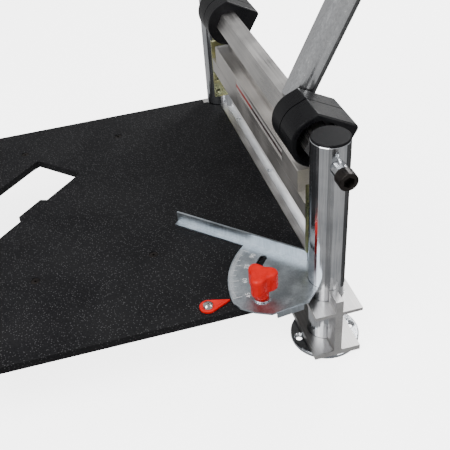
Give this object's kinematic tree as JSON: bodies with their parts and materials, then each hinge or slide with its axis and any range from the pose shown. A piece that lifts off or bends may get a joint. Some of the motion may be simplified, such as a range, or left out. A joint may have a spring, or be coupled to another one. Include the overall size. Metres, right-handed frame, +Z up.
{
  "type": "laminate floor cutter",
  "caption": "Guillotine cutter for laminate and plank flooring: a lever with cams presses a guided blade down between posts, beside a table with a swinging angle fence.",
  "frame": {"origin": "middle of the front foot's underside, on the bench", "axes": "+Z up, +Y along the blade from the front post to the rear post, -X towards the work table"},
  "size_m": [0.54, 0.4346, 0.5583],
  "materials": {
    "chromed_tube": "bright chrome plate",
    "mill_aluminium": "mill finish, drawn lines",
    "anodised_aluminium": "satin light-grey anodised",
    "ground_steel": "ground steel",
    "zinc_steel": "bright zinc plate",
    "galvanised_sheet": "bluish galvanised sheet, brushed",
    "yellow_zinc": "yellow-green passivated zinc",
    "black_oxide_steel": "black oxide",
    "black_nylon": "satin black plastic",
    "black_rubber": "matt black rubber",
    "black_table_coat": "fine pebbled black coat",
    "red_plastic": "glossy red plastic",
    "label_print": "plain dark strip"
  },
  "bodies": {
    "frame": {"base_beam": "mill_aluminium", "anvil_bar": "ground_steel", "anvil_screw_1": "zinc_steel", "anvil_screw_2": "zinc_steel", "anvil_screw_3": "zinc_steel", "table_plate": "black_table_coat", "scale_pointer": "red_plastic", "pointer_screw": "chromed_tube", "front_foot": "zinc_steel", "rear_foot": "zinc_steel", "front_post": "chromed_tube", "rear_post": "chromed_tube", "front_post_cap": "black_nylon", "rear_post_cap": "black_nylon", "front_pivot_screw": "black_oxide_steel", "rear_pivot_screw": "black_oxide_steel", "front_pivot_collar": "chromed_tube", "rear_pivot_collar": "chromed_tube", "front_return_spring": "zinc_steel", "rear_return_spring": "zinc_steel", "front_table_rail": "zinc_steel", "rear_table_rail": "zinc_steel", "front_rail_screw": "zinc_steel", "rear_rail_screw": "zinc_steel", "front_outer_table_screw": "black_oxide_steel", "rear_outer_table_screw": "black_oxide_steel", "front_inner_table_screw": "black_oxide_steel", "rear_inner_table_screw": "black_oxide_steel", "front_table_leg": "zinc_steel", "rear_table_leg": "zinc_steel", "front_leg_foot": "black_rubber", "rear_leg_foot": "black_rubber"},
    "jaw": {"jaw_beam": "anodised_aluminium", "blade_bar": "anodised_aluminium", "blade": "ground_steel", "label_strip": "label_print", "blade_screw_1": "black_oxide_steel", "blade_screw_2": "black_oxide_steel", "blade_screw_3": "black_oxide_steel", "blade_screw_4": "black_oxide_steel", "front_end_plate": "yellow_zinc", "rear_end_plate": "yellow_zinc", "front_plate_screw": "zinc_steel", "rear_plate_screw": "zinc_steel", "front_guide_shoe": "black_nylon", "rear_guide_shoe": "black_nylon", "front_shoe_screw": "black_oxide_steel", "rear_shoe_screw": "black_oxide_steel"},
    "lever": {"cam_shaft": "mill_aluminium", "lever_tube": "chromed_tube", "lever_plug": "zinc_steel", "lever_bolt": "black_oxide_steel", "lever_grip": "black_rubber", "front_cam_hub": "black_nylon", "rear_cam_hub": "black_nylon"},
    "fence": {"angle_fence": "galvanised_sheet"},
    "knob": {"clamp_knob": "red_plastic", "clamp_washer": "zinc_steel", "knob_stud": "zinc_steel"}
  },
  "joints": [
    {"name": "lever_turn", "type": "hinge", "parent": "frame", "child": "lever", "pos_m": [0, 0, 0.196], "axis": [0, 1, 0], "range_deg": [0, 85]},
    {"name": "jaw_slide", "type": "slide", "parent": "frame", "child": "jaw", "axis": [0, 0, -1], "range_m": [0, 0.0101], "deforming": ["front_return_spring", "rear_return_spring"]},
    {"name": "fence_swing", "type": "hinge", "parent": "frame", "child": "fence", "pos_m": [0, 0, 0.07], "axis": [0, 0, 1], "range_deg": [0, 45]},
    {"name": "knob_turn", "type": "hinge", "parent": "frame", "child": "knob", "pos_m": [-0.0612, -0.0064, 0.07], "axis": [0, 0, 1], "range_deg": [0, 360]}
  ],
  "couplings": [
    {"joint": "jaw_slide", "follows": "lever_turn", "m_per_rad": 0.006741}
  ]
}
